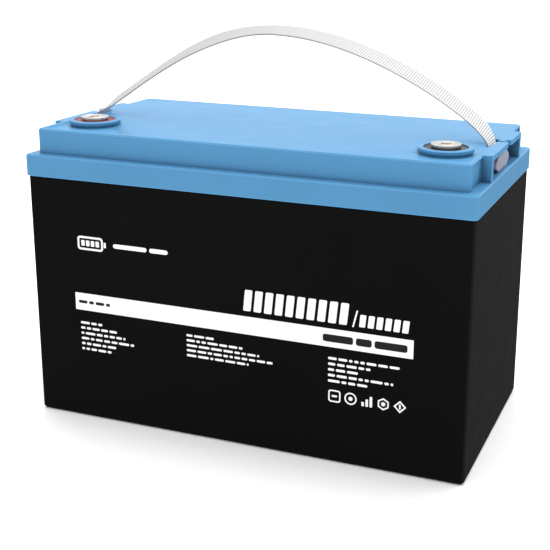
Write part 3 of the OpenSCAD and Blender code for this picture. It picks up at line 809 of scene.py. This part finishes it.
def strap_section():
    """(across, half thickness share, face) round the strap's section, across from -1 to 1."""
    half = []
    for i in range(SECTION_COLUMNS + 1):
        even = 2.0 * i / SECTION_COLUMNS - 1.0
        v = 0.65 * even - 0.35 * math.cos(math.pi * i / SECTION_COLUMNS)
        half.append((v, math.sqrt(max(0.0, 1.0 - abs(v) ** SECTION_SQUARENESS))))
    return [(v, share, 1) for v, share in half] + [
        (v, share, -1) for v, share in half[-2:0:-1]]


def make_strap_half(side, material):
    """Webbing with a raised cord every rib pitch, on both faces, and a firm selvedge."""
    line, distance = strap_line(side)
    tangent = np.gradient(line, axis=0)
    tangent /= np.linalg.norm(tangent, axis=1)[:, None]
    normal = np.stack((-tangent[:, 1], tangent[:, 0]), axis=1)
    twist = TWIST * risen(line[:, 1]) * ease(-line[:, 0] / TWIST_REACH)
    section = strap_section()
    points, weave, line_z = [], [], []
    for (x, z), (nx, nz), s, roll in zip(line, normal, distance, twist):
        for v, share, face in section:
            cord = abs(math.cos(math.pi * (s / RIB_PITCH + (0.0 if face > 0 else 0.5))))
            rib = SELVEDGE_RIB if abs(v) > SELVEDGE_FROM else 1.0
            hollow = (1.0 - cord ** RIB_ROUNDNESS) * rib
            lift = face * share * (STRAP_HALF_T - RIB_H * hollow)
            width = STRAP_HALF_W - EDGE_WAVE * (1.0 - cord)
            out = lift * math.cos(roll) - v * width * math.sin(roll)
            across = v * width * math.cos(roll) + lift * math.sin(roll)
            points.append((x + nx * out, across, z + nz * out))
            line_z.append(z)
            # Painted shade for this hollow, stored with the weave
            shade = max(0.0, hollow * HOLLOW_GAIN - HOLLOW_OFFSET)
            weave.append((s * MM, v * width * MM, shade))
    mesh = bpy.data.meshes.new("strap_" + side)
    mesh.from_pydata(leaning(np.array(points), np.array(line_z)) * MM, [],
                     tube_faces(len(line), len(section)))
    outward(mesh)
    stored = mesh.attributes.new("weave", "FLOAT_VECTOR", "POINT")
    stored.data.foreach_set("vector", np.array(weave, np.float32).ravel())
    smooth_all(mesh)
    obj = new_piece("strap_" + side, mesh, material)
    obj.visible_shadow = False
    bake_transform(obj)
    return obj


def make_strap(materials):
    left = make_strap_half("left", materials["strap_webbing"])
    right = make_strap_half("right", materials["strap_webbing"])
    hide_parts("strap_web", "strap_root_left")
    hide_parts("strap_root_right")


# ---------------------------------------------------------------- threads in the posts
def make_thread(side, materials):
    """A helical ridge on the wall of the M8 hole, with sizes in mm."""
    pitch, wall_r, crest_r, half_height, depth, turns, steps = 1.25, 3.42, 3.18, 0.45, 0.7, 9, 28
    centre = terminal_centre(side)
    top_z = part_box("terminal_" + side)[1].z / MM - depth
    rows = turns * steps + 1
    points = []
    for i in range(rows):
        angle = 2 * math.pi * i / steps
        z = top_z - pitch * i / steps
        for radius, dz in ((wall_r, half_height), (crest_r, 0.0), (wall_r, -half_height)):
            points.append((centre.x + radius * math.cos(angle) * MM,
                           centre.y + radius * math.sin(angle) * MM, (z + dz) * MM))
    mesh = bpy.data.meshes.new("thread_" + side)
    mesh.from_pydata(points, [], tube_faces(rows, 3))
    outward(mesh)
    thread = new_piece("thread_" + side, mesh, materials["terminal_" + side])
    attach(thread, ROOT)


# ---------------------------------------------------------------- stage
# Strength of the white world above the horizon and below it, and where it fades between
SKY, GROUND = 1.08, 0.16
FADE_FROM, FADE_TO = -0.10, -0.03
FLOOR_HALF = 20.0
KEY_PLACE = Vector((0.0, 0.70, 2.30))
KEY_TARGET = Vector((0.0, 0.0, 0.20))
KEY_SIZE = 2.6
KEY_POWER = 66.0


def make_key():
    data = bpy.data.lights.new("key", "AREA")
    data.shape = "RECTANGLE"
    data.size = data.size_y = KEY_SIZE
    data.energy = KEY_POWER
    obj = bpy.data.objects.new("key", data)
    bpy.context.scene.collection.objects.link(obj)
    obj.location = KEY_PLACE
    obj.rotation_mode = "QUATERNION"
    obj.rotation_quaternion = (KEY_TARGET - KEY_PLACE).to_track_quat("-Z", "Y")


def make_world():
    """Even white above the horizon; dim below it, where only reflections look."""
    world = bpy.data.worlds.new("world")
    world.use_nodes = True
    tree = world.node_tree
    background = tree.nodes["Background"]
    place = tree.nodes.new("ShaderNodeTexCoord")
    split = tree.nodes.new("ShaderNodeSeparateXYZ")
    fade = tree.nodes.new("ShaderNodeMapRange")
    for name, value in (("From Min", FADE_FROM), ("From Max", FADE_TO), ("To Min", GROUND),
                        ("To Max", SKY)):
        fade.inputs[name].default_value = value
    tree.links.new(place.outputs["Generated"], split.inputs[0])
    tree.links.new(split.outputs[Z], fade.inputs["Value"])
    tree.links.new(fade.outputs["Result"], background.inputs["Strength"])
    background.inputs["Color"].default_value = (1.0, 1.0, 1.0, 1.0)
    bpy.context.scene.world = world


def make_floor():
    mesh = bpy.data.meshes.new("floor")
    corners = [(x * FLOOR_HALF, y * FLOOR_HALF, 0) for x, y in ((-1, -1), (1, -1), (1, 1), (-1, 1))]
    mesh.from_pydata(corners, [], [(0, 1, 2, 3)])
    mesh.materials.append(
        Paint("floor_white", (0.95, 0.95, 0.95), 0.9, Specular_IOR_Level=0.0).material)
    floor = bpy.data.objects.new("floor", mesh)
    bpy.context.scene.collection.objects.link(floor)
    floor.visible_glossy = False


# ---------------------------------------------------------------- build
make_camera()
materials = make_materials()
finish_cad_nodes(materials)
make_print(materials)
make_strap(materials)
for side in ("positive", "negative"):
    make_thread(side, materials)
make_floor()
make_world()
make_key()
bpy.context.scene.view_settings.view_transform = "Standard"
